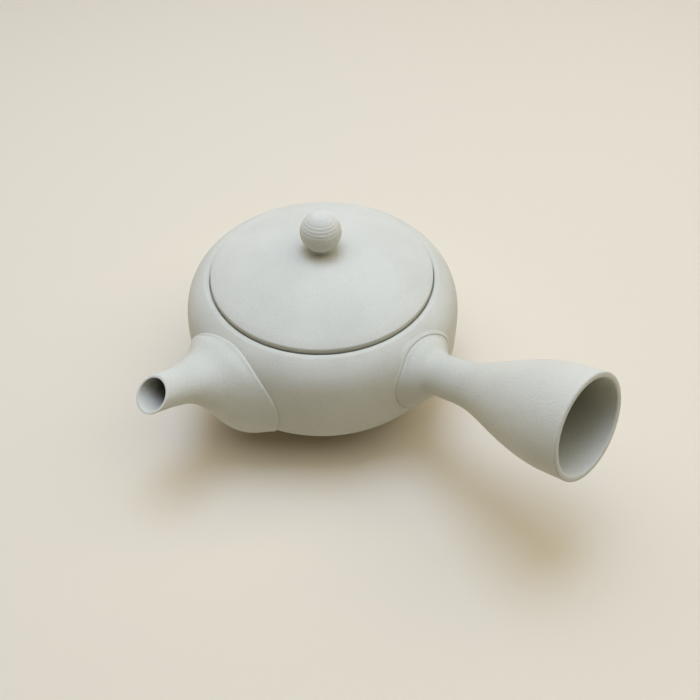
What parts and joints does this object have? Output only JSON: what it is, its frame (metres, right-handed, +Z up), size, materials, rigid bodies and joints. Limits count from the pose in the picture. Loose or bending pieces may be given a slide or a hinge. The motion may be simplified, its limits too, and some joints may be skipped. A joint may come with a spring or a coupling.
{
  "type": "kyusu",
  "caption": "Side-handled Japanese teapot of unglazed stoneware with a trumpet spout, a hollow handle at right angles to it, an inner strainer and a lift-off domed lid with a ball knob.",
  "frame": {"origin": "centre of the flat foot, on the surface the pot stands on", "axes": "+Z up the pot's turning axis, +X out along the handle, -Y out along the spout"},
  "size_m": [0.1926, 0.1504, 0.0888],
  "materials": {
    "pot_clay": "matte unglazed fine stoneware",
    "spout_clay": "matte unglazed fine stoneware",
    "handle_clay": "matte unglazed fine stoneware",
    "strainer_clay": "matte unglazed fine stoneware",
    "lid_clay": "matte unglazed fine stoneware",
    "knob_clay": "matte unglazed fine stoneware"
  },
  "bodies": {
    "pot": {"body": "pot_clay", "spout": "spout_clay", "handle": "handle_clay", "strainer": "strainer_clay"},
    "lid_assembly": {"lid": "lid_clay", "lid_knob": "knob_clay"}
  },
  "joints": [
    {"name": "lid_lift", "type": "slide", "parent": "pot", "child": "lid_assembly", "axis": [0, 0, 1], "range_m": [0, 0.06]}
  ]
}
